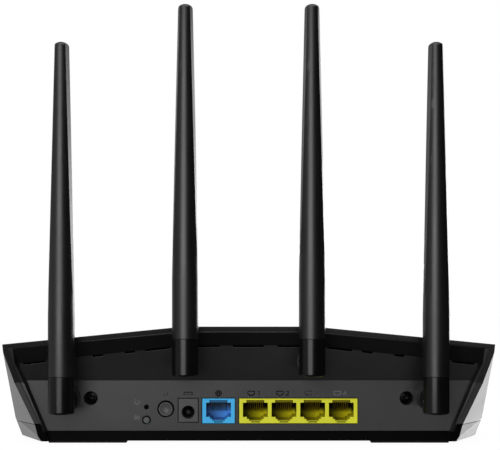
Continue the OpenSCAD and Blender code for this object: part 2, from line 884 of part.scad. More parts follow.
module magnetics() {
    color(gloss_black) for (x = magnetics_x)
        on_board(x, magnetics_out, magnetics_w, magnetics_l, magnetics_h);
}

module capacitors() {
    color([0.25, 0.27, 0.32]) for (p = capacitor_spots) post(p[0], p[1], board_h, capacitor_d, capacitor_h);
}

module status_leds() {
    color([0.9, 0.92, 0.9]) for (x = light_x) on_board(x, light_out + led_l / 2, led_w, led_l, led_h);
}

// clear posts from the lamps up to the windows in the roof, joined by a rail on two legs
module light_guide() {
    color([0.8, 0.85, 0.9]) intersection() {
        housing_form();
        union() {
            for (x = light_x) block(x, light_w, light_out, light_out + light_l, board_h + 1, rear_h);
            block(0, rail_w, light_out, light_out + rail_t, board_h + rail_up, rail_h);
            for (s = [-1, 1])
                block(s * (rail_w - rail_t) / 2, rail_t, light_out, light_out + rail_t,
                    board_h, rail_up + 1);
        }
    }
}

// ---- antenna leads ----
outer_plug_in = 5;          // from the board's sides
outer_plug_x = board_w / 2 - outer_plug_in;
plug_spots = [[-outer_plug_x, -33], [-33, -21], [36, -21], [outer_plug_x, -33]];
plug_d = 3;
plug_h = 2.4;

module lead_plugs() {
    color(gold) for (p = plug_spots) post(p[0], p[1], board_h, plug_d, plug_h);
}

// a cubic curve through its end points, and its direction
function curve(p, t) = (1 - t) ^ 3 * p[0] + 3 * (1 - t) ^ 2 * t * p[1]
    + 3 * (1 - t) * t ^ 2 * p[2] + t ^ 3 * p[3];
function curve_heading(p, t) =
    let (v = (1 - t) ^ 2 * (p[1] - p[0]) + 2 * (1 - t) * t * (p[2] - p[1]) + t ^ 2 * (p[3] - p[2]))
    v / norm(v);

lead_steps = 14;
lead_sides = 8;
lead_root_l = 2.6;          // inside the swivel shaft

// a round tube along a cubic curve, its rings square to it
module lead(p, d, side) {
    rings = [for (k = [0:lead_steps])
        let (t = k / lead_steps, w = curve_heading(p, t), c = cross(w, side), u = c / norm(c),
            v = cross(w, u))
        for (a = [0:lead_sides - 1])
            curve(p, t) + d / 2 * (cos(a * 360 / lead_sides) * u + sin(a * 360 / lead_sides) * v)];
    skin = [for (k = [0:lead_steps - 1], a = [0:lead_sides - 1])
        let (i = k * lead_sides, b = (a + 1) % lead_sides)
        each [[i + a, i + b, i + lead_sides + b], [i + a, i + lead_sides + b, i + lead_sides + a]]];
    ends = [[for (a = [lead_sides - 1:-1:0]) a],
        [for (a = [0:lead_sides - 1]) lead_steps * lead_sides + a]];
    polyhedron(rings, concat(skin, ends));
}

module antenna_leads() {
    color(gloss_black) for (i = [0:3]) {
        start = at(swivels[i][0], antenna_out - shaft_end + lead_root_l, swivels[i][1]);
        top = at(plug_spots[i][0], plug_spots[i][1], board_h + plug_h);
        // past the screw posts before it turns inwards
        run = start.y - top.y;
        lead([start, start - [0, run * 0.88, 0], top + [0, 0, 16], top], lead_d,
            [0.8 * sign(start.x), 0, 0.6]);
    }
}

// ---- antennas, each drawn about its fold axis ----
seam_up = sleeve_l - pivot_up;
seam_line = 0.15;
rod_l = antenna_l - sleeve_l;
spigot_l = 4;
spigot_d = 7.8;
disc_near = antenna_out - pad_out - fit_gap;
clip_t = 1;
clip_d = 10.5;
clip_groove_d = 5.8;
clip_near = antenna_out + panel_t + 0.4;
shaft_end = clip_near + clip_t + 2.2;
pin_short = 0.4;            // how far each end of the pin lies inside the sleeve

module at_pivot(i) {
    translate(at(swivels[i][0], antenna_out, swivels[i][1])) children();
}

// a round bar from the fold axis towards the panel
module along_shaft(d, near, far) {
    translate([0, near, 0]) rotate([-90, 0, 0]) cylinder(d = d, h = far - near);
}

module along_pin(d, l) {
    rotate([0, 90, 0]) cylinder(d = d, h = l, center = true);
}

module swivel_arm(i) {
    color(gloss_black) at_pivot(i) difference() {
        union() {
            along_pin(2 * tongue_r, tongue_w);
            translate([-tongue_w / 2, 0, -tongue_r]) cube([tongue_w, disc_near - disc_t / 2, 2 * tongue_r]);
            along_shaft(disc_d, disc_near - disc_t, disc_near);
            along_shaft(shaft_d, disc_near - disc_t / 2, shaft_end);
        }
        along_pin(pin_d + 2 * run_gap, tongue_w + 2 * overcut);
        along_shaft(shaft_bore_d, disc_near - disc_t, shaft_end + overcut);
        difference() {
            along_shaft(shaft_d + overcut, clip_near, clip_near + clip_t + 0.2);
            along_shaft(clip_groove_d, clip_near - overcut, clip_near + clip_t + overcut);
        }
    }
}

// a sprung clip, open on one side, that holds the shaft behind the panel
module swivel_clip(i) {
    color(steel) at_pivot(i) difference() {
        along_shaft(clip_d, clip_near + 0.1, clip_near + 0.1 + clip_t);
        along_shaft(clip_groove_d + fit_gap, clip_near - overcut, clip_near + clip_t + overcut);
        translate([-clip_groove_d / 2 + 0.4, clip_near - overcut, 0])
            cube([clip_groove_d - 0.8, clip_t + 2 * overcut, clip_d]);
    }
}

module hinge_pin(i) {
    color(steel) at_pivot(i) along_pin(pin_d, rod_d - 2 * pin_short);
}

// the sleeve's slot is open to the front and the foot, so that the arm stays clear
// from upright to folded back
module antenna_sleeve(i) {
    slot_r = tongue_r + slot_gap;
    slot_w = tongue_w + slot_gap;
    color(gloss_black) at_pivot(i) difference() {
        translate([0, 0, -pivot_up]) rotate_extrude() {
            translate([0, foot_round]) square([rod_d / 2, sleeve_l - foot_round]);
            square([rod_d / 2 - foot_round, foot_round]);
            translate([rod_d / 2 - foot_round, foot_round]) intersection() {
                circle(foot_round);
                translate([0, -foot_round]) square(foot_round);
            }
        }
        along_pin(2 * slot_r, slot_w);
        translate([-slot_w / 2, 0, -rod_d]) cube([slot_w, rod_d, rod_d + slot_r]);
        translate([-slot_w / 2, -slot_r, -rod_d]) cube([slot_w, 2 * rod_d, rod_d]);
        along_pin(pin_d, rod_d + 2 * overcut);
        translate([0, 0, seam_up - spigot_l]) cylinder(d = spigot_d + 2 * fit_gap, h = spigot_l + overcut);
    }
}

module antenna_rod(i) {
    straight_l = rod_l - taper_l;
    dome_r = ((tip_d / 2) ^ 2 + dome_h ^ 2) / (2 * dome_h);
    flat_z = rod_l - flat_l;
    flat_r = lerp(rod_d, tip_d, (flat_z - straight_l) / (taper_l - dome_h)) / 2;
    flat_pitch = atan((flat_r - tip_d / 2 + flat_depth) / (flat_l - dome_h));
    color(rubber_grey) at_pivot(i) translate([0, 0, seam_up]) difference() {
        union() {
            translate([0, 0, -spigot_l]) cylinder(d = spigot_d, h = spigot_l + 1);
            translate([0, 0, seam_line]) cylinder(d = rod_d, h = straight_l - seam_line);
            translate([0, 0, straight_l]) cylinder(d1 = rod_d, d2 = tip_d, h = taper_l - dome_h);
            intersection() {
                translate([0, 0, rod_l - dome_h]) cylinder(d = tip_d, h = dome_h);
                translate([0, 0, rod_l - dome_r]) sphere(dome_r);
            }
        }
        for (s = [-1, 1]) rotate([0, 0, -s * (90 - flat_turn) - 90])
            translate([flat_r, 0, flat_z]) rotate([0, -flat_pitch, 0])
                translate([0, -rod_d / 2, 0]) cube([rod_d, rod_d, antenna_l]);
    }
}

bottom_case();
top_cover();
rear_frame();
rear_panel();
rubber_feet();
case_screws();
rear_screws();
main_board();
board_screws();
wan_jack();
lan_jacks();
jack_contacts();
dc_jack();
dc_jack_pin();
power_switch();
wps_switch();
reset_switch();
power_button();
wps_button();
reset_button();
main_chip();
heat_sink();
memory_chips();
rf_shields();
magnetics();
capacitors();
status_leds();
light_guide();
antenna_leads();
lead_plugs();
for (i = [1:4]) {
    swivel_arm(i - 1);
    swivel_clip(i - 1);
    hinge_pin(i - 1);
    antenna_sleeve(i - 1);
    antenna_rod(i - 1);
}
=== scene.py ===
import bmesh
import bpy
import json
import numpy as np
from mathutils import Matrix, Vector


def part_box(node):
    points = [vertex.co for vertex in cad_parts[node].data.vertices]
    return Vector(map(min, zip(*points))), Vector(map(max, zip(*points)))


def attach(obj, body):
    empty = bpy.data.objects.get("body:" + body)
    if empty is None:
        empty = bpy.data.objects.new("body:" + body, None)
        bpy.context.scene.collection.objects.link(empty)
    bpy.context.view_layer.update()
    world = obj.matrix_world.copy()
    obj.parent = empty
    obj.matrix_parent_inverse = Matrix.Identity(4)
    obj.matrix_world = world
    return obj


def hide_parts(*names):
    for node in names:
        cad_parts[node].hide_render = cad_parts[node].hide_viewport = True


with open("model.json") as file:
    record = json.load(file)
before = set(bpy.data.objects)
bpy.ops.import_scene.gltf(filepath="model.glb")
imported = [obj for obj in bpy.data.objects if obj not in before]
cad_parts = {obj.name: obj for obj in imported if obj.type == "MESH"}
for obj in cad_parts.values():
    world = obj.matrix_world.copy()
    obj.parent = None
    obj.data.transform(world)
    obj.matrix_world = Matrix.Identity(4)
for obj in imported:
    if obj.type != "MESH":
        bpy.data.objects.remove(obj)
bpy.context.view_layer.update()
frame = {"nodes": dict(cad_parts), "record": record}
scene = bpy.context.scene
scene.view_settings.view_transform = "Standard"
print("frame loaded:", len(frame["nodes"]), "nodes")

mm = 0.001
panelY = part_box("lan_jacks")[0][1]                  # face of the port panel, flush with its sockets
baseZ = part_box("bottom_case")[0][2]                 # underside of the housing


# a place given in mm: x, distance out from the port panel, height above the underside
def at(x, out, h):
    return np.array([x * mm, panelY - out * mm, baseZ + h * mm])


# the middle of a node's box along one axis, in mm
def middle(node, axis=0):
    low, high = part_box(node)
    return (low[axis] + high[axis]) / 2 / mm


# the camera stands behind the sockets, level, with its frame shifted up; heights and distance in mm
view = {"eyeHeight": 77.3, "distance": 482, "lens": 71.2, "sideShift": 0.0026, "rise": 0.12}


def addCamera():
    data = bpy.data.cameras.new("camera")
    data.sensor_width = 36
    data.lens = view["lens"]
    data.shift_x = view["sideShift"]
    data.shift_y = view["rise"]
    data.clip_start = 0.01
    camera = bpy.data.objects.new("camera", data)
    camera.location = (0, panelY - view["distance"] * mm, view["eyeHeight"] * mm)
    camera.rotation_euler = (np.pi / 2, 0, 0)
    scene.collection.objects.link(camera)
    scene.camera = camera


addCamera()
print("camera placed")


# adds a node, sets its properties, and fills its inputs, by name or number, with values or links
def put(tree, kind, inputs=None, **settings):
    node = tree.nodes.new(kind)
    for name, value in settings.items():
        setattr(node, name, value)
    for name, value in (inputs or {}).items():
        if isinstance(value, bpy.types.NodeSocket):
            tree.links.new(value, node.inputs[name])
        else:
            node.inputs[name].default_value = value
    return node


def blendColour(tree, mask, first, second):
    return put(tree, "ShaderNodeMix", {0: mask, 6: first, 7: second}, data_type="RGBA").outputs[2]


def blendValue(tree, mask, first, second):
    return put(tree, "ShaderNodeMix", {0: mask, 2: first, 3: second}, data_type="FLOAT").outputs[0]


def calc(tree, operation, *values, clamp=False):
    return put(tree, "ShaderNodeMath", dict(enumerate(values)), operation=operation, use_clamp=clamp).outputs[0]


def remap(tree, value, low, high, toLow=0.0, toHigh=1.0, soft=False):
    return put(tree, "ShaderNodeMapRange", {"Value": value, "From Min": low, "From Max": high, "To Min": toLow,
        "To Max": toHigh}, interpolation_type="SMOOTHSTEP" if soft else "LINEAR").outputs[0]


def newGroup(name, inputs, outputs):
    tree = bpy.data.node_groups.new(name, "ShaderNodeTree")
    for label, value in inputs.items():
        socket = tree.interface.new_socket(name=label, in_out="INPUT", socket_type="NodeSocketFloat")
        socket.default_value = value
    for label, kind in outputs.items():
        tree.interface.new_socket(name=label, in_out="OUTPUT", socket_type="NodeSocket" + kind)
    return tree, tree.nodes.new("NodeGroupInput"), tree.nodes.new("NodeGroupOutput")


def fillGroup(tree, group, values):
    return put(tree, "ShaderNodeGroup", values, node_tree=group)


# spark-eroded mould texture: fine noise over coarser pits, and slow patches of gloss
def makeMouldGrain():
    tree, given, result = newGroup("mouldGrain", {"Grain": 0.35, "Pits": 0.5},
        {"Height": "Float", "Patches": "Float"})
    place = put(tree, "ShaderNodeTexCoord").outputs["Object"]
    scale = calc(tree, "DIVIDE", 1 / mm, given.outputs["Grain"])
    fine = put(tree, "ShaderNodeTexNoise", {"Vector": place, "Scale": scale, "Detail": 2.0,
        "Roughness": 0.6}).outputs[0]
    pits = put(tree, "ShaderNodeTexVoronoi", {"Vector": place, "Scale": calc(tree, "MULTIPLY", scale, 0.45)},
        feature="SMOOTH_F1").outputs[0]
    height = calc(tree, "ADD", fine, calc(tree, "MULTIPLY", pits, given.outputs["Pits"]))
    slow = put(tree, "ShaderNodeTexNoise", {"Vector": place, "Scale": 42.0, "Detail": 4.0,
        "Roughness": 0.55}).outputs[0]
    tree.links.new(height, result.inputs["Height"])
    tree.links.new(remap(tree, slow, 0.32, 0.68), result.inputs["Patches"])
    return tree


# rounds the shading at edges, and marks them where they would be rubbed; plastics pale them there, as wear and
# as a painted sheen
def makeEdgeWearAndSheen():
    tree, given, result = newGroup("edgeWearAndSheen", {"Radius": 0.3 * mm, "Breakup": 900.0},
        {"Normal": "Vector", "RubAndSheen": "Float"})
    soft = put(tree, "ShaderNodeBevel", {"Radius": given.outputs["Radius"]}, samples=6).outputs[0]
    flat = put(tree, "ShaderNodeNewGeometry").outputs["True Normal"]
    same = put(tree, "ShaderNodeVectorMath", {0: soft, 1: flat}, operation="DOT_PRODUCT").outputs["Value"]
    turned = remap(tree, same, 0.985, 0.80)
    place = put(tree, "ShaderNodeTexCoord").outputs["Object"]
    worn = put(tree, "ShaderNodeTexNoise", {"Vector": place, "Scale": given.outputs["Breakup"],
        "Detail": 3.0}).outputs[0]
    rubAndSheen = calc(tree, "MULTIPLY", turned, remap(tree, worn, 0.35, 0.7), clamp=True)
    tree.links.new(soft, result.inputs["Normal"])
    tree.links.new(rubAndSheen, result.inputs["RubAndSheen"])
    return tree


mouldGrain = makeMouldGrain()
edgeWearAndSheen = makeEdgeWearAndSheen()


def startMaterial(name, colour):
    material = bpy.data.materials.new(name)
    material.use_nodes = True
    material.diffuse_color = (*colour, 1)
    return material, material.node_tree, material.node_tree.nodes["Principled BSDF"]


# heights and depths in a network socket, in mm: the bay above the contacts, the slit for the plug's catch at
# the foot, and how far in their painted shade colours are reached
socketCut = {"pitch": 13.97, "bayFrom": 18.4, "bayFull": 18.7, "slitFrom": 9.9, "slitFull": 9.7, "fullAt": 1.0}


# the inside of a socket or hole is painted shade: its colour goes over from the mouth to shade colours further in,
# lighter low down and darker higher up; in a network socket painted shade also deepens to the left of each cell,
# and the bay and the catch slit have their own painted shade colours; also gives the mask of what lies inside
def paintDepthShade(tree, colour, depths):
    place = put(tree, "ShaderNodeSeparateXYZ", {0: put(tree, "ShaderNodeTexCoord").outputs["Object"]}).outputs
    inside = remap(tree, place[1], panelY + 0.2 * mm, panelY + depths["fullAt"] * mm, soft=True)
    shadeUpwards = remap(tree, place[2], baseZ + depths["litBelow"] * mm, baseZ + depths["darkAbove"] * mm, soft=True)
    paintedShade = blendColour(tree, shadeUpwards, (*depths["low"], 1), (*depths["high"], 1))
    if "bay" in depths:
        along = calc(tree, "SUBTRACT", place[0], depths["cellsFrom"] * mm)
        cell = calc(tree, "FRACT", calc(tree, "DIVIDE", along, socketCut["pitch"] * mm))
        # painted shade on the left of each cell, as if the light came in from the left
        sideShade = remap(tree, cell, 0.10, 0.80, depths["leftShade"], 1.0)
        paintedShade = blendColour(tree, sideShade, (*depths["high"], 1), paintedShade)
        # the bay and the catch slit are painted in their own shade colours
        bay = remap(tree, place[2], baseZ + socketCut["bayFrom"] * mm, baseZ + socketCut["bayFull"] * mm)
        paintedShade = blendColour(tree, bay, paintedShade, (*depths["bay"], 1))
        slit = remap(tree, place[2], baseZ + socketCut["slitFrom"] * mm, baseZ + socketCut["slitFull"] * mm)
        paintedShade = blendColour(tree, slit, paintedShade, (*depths["slit"], 1))
        shallow = remap(tree, place[1], panelY + 0.1 * mm, panelY + socketCut["fullAt"] * mm)
        either = calc(tree, "MAXIMUM", bay, slit)
        inside = calc(tree, "MAXIMUM", inside, calc(tree, "MULTIPLY", either, shallow))
    return blendColour(tree, inside, colour, paintedShade), inside


# what the plastics share unless a look gives its own: drift of the colour and spread of the roughness over the
# slow patches, depth of the grain and radius of the edges in mm, how much paler a rubbed edge is, as wear and as
# a painted sheen, how rough the inside of an opening is, and the coat on leaning faces
moulded = {"drift": 0.1, "spread": 0.03, "pits": 0.4, "grainDepth": 0.05, "edge": 0.3, "rubAndSheen": 0.5, "rubAndSheenTimes": 2.5,
    "rubAndSheenPlus": 0.012, "insideRough": 0.9, "coatRough": 0.35, "coatFrom": 0.3, "coatFull": 0.5}


# moulded plastic: colour drifts a little in patches, edges are rubbed paler as wear and as a painted sheen, the
# inside of openings takes painted shade where a look gives depths, and the grain is a bump; "polish" adds a coat
# on the faces that lean sideways
def plastic(name, own):
    look = {**moulded, **own}
    dark = np.array(look["colour"])
    material, tree, shader = startMaterial(name, look["colour"])
    grain = fillGroup(tree, mouldGrain, {"Grain": look["grain"], "Pits": look["pits"]})
    wearAndSheen = fillGroup(tree, edgeWearAndSheen, {"Radius": look["edge"] * mm})
    less, more = dark * (1 - look["drift"]), dark * (1 + look["drift"])
    drift = blendColour(tree, grain.outputs["Patches"], (*less, 1), (*more, 1))
    # rubbed edges are paler, as wear and as a painted sheen
    rubAndSheenShare = calc(tree, "MULTIPLY", wearAndSheen.outputs["RubAndSheen"], look["rubAndSheen"])
    paler = np.minimum(dark * look["rubAndSheenTimes"] + look["rubAndSheenPlus"], 1)
    colour = blendColour(tree, rubAndSheenShare, drift, (*paler, 1))
    rough = remap(tree, grain.outputs["Patches"], 0, 1, look["rough"] - look["spread"], look["rough"] + look["spread"])
    # with depths, the inside of an opening is painted shade and made rougher
    if "depths" in look:
        colour, inside = paintDepthShade(tree, colour, look["depths"])
        rough = blendValue(tree, inside, rough, look["insideRough"])
    if "polish" in look:
        normal = put(tree, "ShaderNodeTexCoord").outputs["Normal"]
        sideways = calc(tree, "ABSOLUTE", put(tree, "ShaderNodeSeparateXYZ", {0: normal}).outputs[0])
        coat = remap(tree, sideways, look["coatFrom"], look["coatFull"], 0.0, look["polish"], soft=True)
        tree.links.new(coat, shader.inputs["Coat Weight"])
        shader.inputs["Coat Roughness"].default_value = look["coatRough"]
    tree.links.new(colour, shader.inputs["Base Color"])
    tree.links.new(rough, shader.inputs["Roughness"])
    shader.inputs["Specular IOR Level"].default_value = look["gloss"]
    bump = put(tree, "ShaderNodeBump", {"Height": grain.outputs["Height"], "Strength": look["bump"],
        "Distance": look["grainDepth"] * mm, "Normal": wearAndSheen.outputs["Normal"]}).outputs[0]
    tree.links.new(bump, shader.inputs["Normal"])
    return material


# looks: "colour" as written, "rough" and "gloss" as on the shader, "grain" in mm, "bump" as a share of its height,
# "edge" in mm and "rub" for worn edges, paler partly as a painted sheen, and "depths" for the painted light and
# shade inside openings, in mm from panel or underside
shellLook = {"colour": (0.0033, 0.0033, 0.0036), "rough": 0.37, "gloss": 0.29, "grain": 0.40, "bump": 0.30}
# the tray is darker than the shell, partly its own matte finish and partly painted shade on its rear band
trayLook = {"colour": (0.0016, 0.0016, 0.0018), "rough": 0.60, "gloss": 0.04, "grain": 0.55, "bump": 0.35,
    "polish": 0.5}
frameLook = {"colour": (0.0040, 0.0040, 0.0044), "rough": 0.38, "gloss": 0.45, "grain": 0.40, "bump": 0.25}
# the panel's holes and screw wells are painted near black inside, as painted shade
panelLook = {"colour": (0.0026, 0.0026, 0.0029), "rough": 0.42, "gloss": 0.5, "grain": 0.45, "bump": 0.30,
    "depths": {"fullAt": 2.0, "litBelow": 1.0, "darkAbove": 2.0, "low": (0.0004, 0.0004, 0.0004),
        "high": (0.0004, 0.0004, 0.0004)}}
armLook = {"colour": (0.0025, 0.0025, 0.0028), "rough": 0.38, "gloss": 0.25, "grain": 0.45, "bump": 0.20}
# the power socket's bore is painted shade inside, with painted light low down and darker higher up
jackLook = {"colour": (0.0260, 0.0260, 0.0265), "rough": 0.46, "gloss": 0.5, "grain": 0.35, "bump": 0.25,
    "depths": {"fullAt": 3.0, "litBelow": 9.5, "darkAbove": 15.0, "low": (0.010, 0.010, 0.010),
        "high": (0.001, 0.001, 0.001)}}
rodLook = {"colour": (0.0030, 0.0030, 0.0033), "rough": 0.40, "gloss": 0.68, "grain": 0.50, "bump": 0.25}
sleeveLook = {"colour": (0.0024, 0.0024, 0.0027), "rough": 0.25, "gloss": 0.36, "grain": 0.9, "bump": 0.06,
    "edge": 0.15}
# behind the panel's face the buttons are painted near black, as painted shade in their gaps
capLook = {"colour": (0.055, 0.055, 0.057), "rough": 0.36, "gloss": 0.3, "grain": 0.30, "bump": 0.15,
    "depths": {"fullAt": 0.9, "litBelow": 1.0, "darkAbove": 2.0, "low": (0.001, 0.001, 0.001),
        "high": (0.001, 0.001, 0.001)}}
# both network socket colours carry painted light and shade inside: lit lower walls, dark upper walls and cell sides, a
# shaded bay and a dark catch slit
blueLook = {"colour": (0.045, 0.38, 0.72), "rough": 0.38, "gloss": 0.18, "grain": 0.6, "bump": 0.10, "rubAndSheen": 0.15,
    "depths": {"fullAt": 2.5, "litBelow": 12.2, "darkAbove": 17.5, "cellsFrom": -21.7, "leftShade": 0.55,
        "low": (0.10, 0.36, 0.90), "high": (0.070, 0.072, 0.075), "bay": (0.025, 0.11, 0.25),
        "slit": (0.002, 0.008, 0.030)}}
yellowLook = {"colour": (0.59, 0.59, 0.030), "rough": 0.38, "gloss": 0.14, "grain": 0.6, "bump": 0.10, "rubAndSheen": 0.15,
    "depths": {"fullAt": 1.6, "litBelow": 11.8, "darkAbove": 15.4, "cellsFrom": -3.73, "leftShade": 0.10,
        "low": (0.62, 0.56, 0.008), "high": (0.006, 0.005, 0.001), "bay": (0.13, 0.11, 0.002),
        "slit": (0.012, 0.008, 0.001)}}
rubberLook = {"colour": (0.008, 0.008, 0.008), "rough": 0.8, "gloss": 0.2, "grain": 0.25, "bump": 0.6}
leadLook = {"colour": (0.012, 0.012, 0.013), "rough": 0.35, "gloss": 0.4, "grain": 0.8, "bump": 0.1}
chipLook = {"colour": (0.012, 0.012, 0.013), "rough": 0.6, "gloss": 0.35, "grain": 0.12, "bump": 0.4}
lampLook = {"colour": (0.80, 0.80, 0.70), "rough": 0.4, "gloss": 0.5, "grain": 0.2, "bump": 0.1}
inkLook = {"colour": (0.0015, 0.0015, 0.0016), "rough": 0.13, "gloss": 0.5, "grain": 0.15, "bump": 0.10,
    "edge": 0.03}


# what the metals share: how dark the patches are, the spread of roughness, share and depth in mm of the drawn
# marks' bump, and the radius of the edges in mm
drawnMetal = {"shade": 0.88, "spread": 0.08, "bump": 0.2, "markDepth": 0.02, "grain": 0.2, "edge": 0.1}


# plated or bare metal: noise stretched along the drawn marks for roughness and bump, and patches in colour
def metal(name, own):
    look = {**drawnMetal, **own}
    tone = np.array(look["colour"])
    material, tree, shader = startMaterial(name, look["colour"])
    place = put(tree, "ShaderNodeTexCoord").outputs["Object"]
    drawn = put(tree, "ShaderNodeMapping", {"Vector": place, "Scale": look["stretch"]}).outputs[0]
    lines = put(tree, "ShaderNodeTexNoise", {"Vector": drawn, "Scale": 1 / mm, "Detail": 4.0}).outputs[0]
    grain = fillGroup(tree, mouldGrain, {"Grain": look["grain"]})
    wearAndSheen = fillGroup(tree, edgeWearAndSheen, {"Radius": look["edge"] * mm})
    colour = blendColour(tree, grain.outputs["Patches"], (*tone * look["shade"], 1), (*tone, 1))
    tree.links.new(colour, shader.inputs["Base Color"])
    rough = remap(tree, lines, 0.3, 0.7, look["rough"] - look["spread"], look["rough"] + look["spread"])
    tree.links.new(rough, shader.inputs["Roughness"])
    shader.inputs["Metallic"].default_value = 1.0
    bump = put(tree, "ShaderNodeBump", {"Height": lines, "Strength": look["bump"],
        "Distance": look["markDepth"] * mm, "Normal": wearAndSheen.outputs["Normal"]}).outputs[0]
    tree.links.new(bump, shader.inputs["Normal"])
    return material


# dark steel for the rear screws, and for the power socket's pin, where its darkness is painted shade
darkSteelLook = {"colour": (0.014, 0.014, 0.015), "rough": 0.34, "stretch": (2.0, 0.3, 2.0)}
steelLook = {"colour": (0.58, 0.58, 0.60), "rough": 0.30, "stretch": (2.0, 0.3, 2.0)}
goldLook = {"colour": (0.50, 0.38, 0.11), "rough": 0.34, "stretch": (2.0, 0.2, 2.0)}
sinkLook = {"colour": (0.66, 0.67, 0.69), "rough": 0.42, "stretch": (3.0, 0.15, 3.0)}


# the board: distances between the tracks of its two patterns, length of a run against that, and width and depth
# of a track, in mm; vias to the metre and their size against that; colours of the mask in its patches
boardLook = {"rows": (2.1, 3.3), "run": 9, "trackW": 0.12, "trackDepth": 0.03, "bump": 0.5, "vias": 260.0,
    "viaSize": 0.09, "colour": (0.02, 0.12, 0.05), "dark": (0.008, 0.085, 0.030), "pale": (0.010, 0.105, 0.038),
    "track": (0.022, 0.20, 0.07), "rough": (0.28, 0.38), "grain": 0.6}


# green solder mask over copper tracks: two crossed brick patterns make the tracks, a Voronoi the vias
def circuitBoard(name, look):
    material, tree, shader = startMaterial(name, look["colour"])
    place = put(tree, "ShaderNodeTexCoord").outputs["Object"]
    mask = put(tree, "ShaderNodeTexVoronoi", {"Vector": place, "Scale": look["vias"]}, feature="F1").outputs[0]
    mask = calc(tree, "LESS_THAN", mask, look["viaSize"])
    for turn, row in zip((0.0, np.pi / 2), look["rows"]):
        turned = put(tree, "ShaderNodeMapping", {"Vector": place, "Rotation": (0, 0, turn)}).outputs[0]
        tracks = put(tree, "ShaderNodeTexBrick", {"Vector": turned, "Scale": 1.0, "Mortar Size": look["trackW"] * mm,
            "Brick Width": look["run"] * row * mm, "Row Height": row * mm, "Color1": (0, 0, 0, 1),
            "Color2": (0, 0, 0, 1), "Mortar": (1, 1, 1, 1)}).outputs["Color"]
        mask = calc(tree, "MAXIMUM", mask, tracks)
    patches = fillGroup(tree, mouldGrain, {"Grain": look["grain"]}).outputs["Patches"]
    green = blendColour(tree, patches, (*look["dark"], 1), (*look["pale"], 1))
    tree.links.new(blendColour(tree, mask, green, (*look["track"], 1)), shader.inputs["Base Color"])
    tree.links.new(remap(tree, patches, 0, 1, *look["rough"]), shader.inputs["Roughness"])
    bump = put(tree, "ShaderNodeBump", {"Height": mask, "Strength": look["bump"],
        "Distance": look["trackDepth"] * mm}).outputs[0]
    tree.links.new(bump, shader.inputs["Normal"])
    return material


guideLook = {"colour": (0.85, 0.9, 0.95), "dark": (0.90, 0.94, 0.97), "pale": (0.95, 0.97, 0.98),
    "rough": (0.05, 0.14), "ior": 1.49, "grain": 0.5}


# clear moulded light guide with a faintly grained skin
def clearGuide(name, look):
    material, tree, shader = startMaterial(name, look["colour"])
    shader.inputs["Transmission Weight"].default_value = 1.0
    shader.inputs["IOR"].default_value = look["ior"]
    patches = fillGroup(tree, mouldGrain, {"Grain": look["grain"]}).outputs["Patches"]
    tint = blendColour(tree, patches, (*look["dark"], 1), (*look["pale"], 1))
    tree.links.new(tint, shader.inputs["Base Color"])
    tree.links.new(remap(tree, patches, 0, 1, *look["rough"]), shader.inputs["Roughness"])
    return material


finishes = {
    "shell": plastic("satinShell", shellLook), "tray": plastic("matteTray", trayLook),
    "frame": plastic("satinFrame", frameLook), "panel": plastic("panelPlastic", panelLook),
    "jack": plastic("powerSocket", jackLook), "arm": plastic("armPlastic", armLook),
    "rod": plastic("antennaPlastic", rodLook), "gloss": plastic("sleevePlastic", sleeveLook),
    "cap": plastic("buttonPlastic", capLook), "blue": plastic("blueSocket", blueLook),
    "yellow": plastic("yellowSocket", yellowLook), "rubber": plastic("footRubber", rubberLook),
    "lead": plastic("leadJacket", leadLook), "chip": plastic("chipPackage", chipLook),
    "lamp": plastic("lampPackage", lampLook), "steel": metal("platedSteel", steelLook),
    "dark_steel": metal("darkSteelAndShade", darkSteelLook),
    "gold": metal("goldPlating", goldLook), "sink": metal("bareAluminium", sinkLook),
    "ink": plastic("markInk", inkLook), "board": circuitBoard("solderMask", boardLook),
    "clear": clearGuide("clearGuide", guideLook)}
# nodes whose finish differs from that of their record's slot; the power socket's pin gets dark steel as painted
# shade deep in its bore
nodeFinish = {"bottom_case": "tray", "rear_frame": "frame", "antenna_leads": "lead", "dc_jack": "jack",
    "dc_jack_pin": "dark_steel", **{f"swivel_arm_{number}": "arm" for number in (1, 2, 3, 4)}}
for part in frame["record"]["subparts"]:
    finish = finishes[nodeFinish.get(part["node"], part["material_slot"])]
    for slot in frame["nodes"][part["node"]].material_slots:
        slot.material = finish
print("materials assigned:", len(finishes))


# puts a new mesh on a body of the frame, with its faces turned outwards, in place of the given nodes
def addPiece(name, points, faces, body, slot, finish, *replaced):
    mesh = bpy.data.meshes.new(name)
    mesh.from_pydata(np.asarray(points).tolist(), [], faces)
    shape = bmesh.new()
    shape.from_mesh(mesh)
    bmesh.ops.recalc_face_normals(shape, faces=shape.faces)
    shape.to_mesh(mesh)
    shape.free()
    mesh.materials.append(finishes[finish])
    piece = bpy.data.objects.new(name, mesh)
    scene.collection.objects.link(piece)
    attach(piece, body)
    for node in replaced:
        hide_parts(node)


# several pieces' points and faces as one mesh's
def joined(parts):
    points, faces, count = [], [], 0
    for shape, rings in parts:
        points.append(shape)
        faces += [[index + count for index in ring] for ring in rings]
        count += len(shape)
    return np.vstack(points), faces


# faces of a grid of rows by columns of points, its columns closed into a ring
def ringFaces(rows, columns, first=0):
    row, column = np.meshgrid(np.arange(rows - 1), np.arange(columns), indexing="ij")
    near, far = row * columns, (row + 1) * columns
    turned = (column + 1) % columns
    return (first + np.stack([near + column, near + turned, far + turned, far + column], -1)).reshape(-1, 4).tolist()


# the same with both of its ends closed
def tubeFaces(rows, columns, first=0):
    last = first + (rows - 1) * columns
    return ringFaces(rows, columns, first) + [list(range(start, start + columns)) for start in (first, last)]


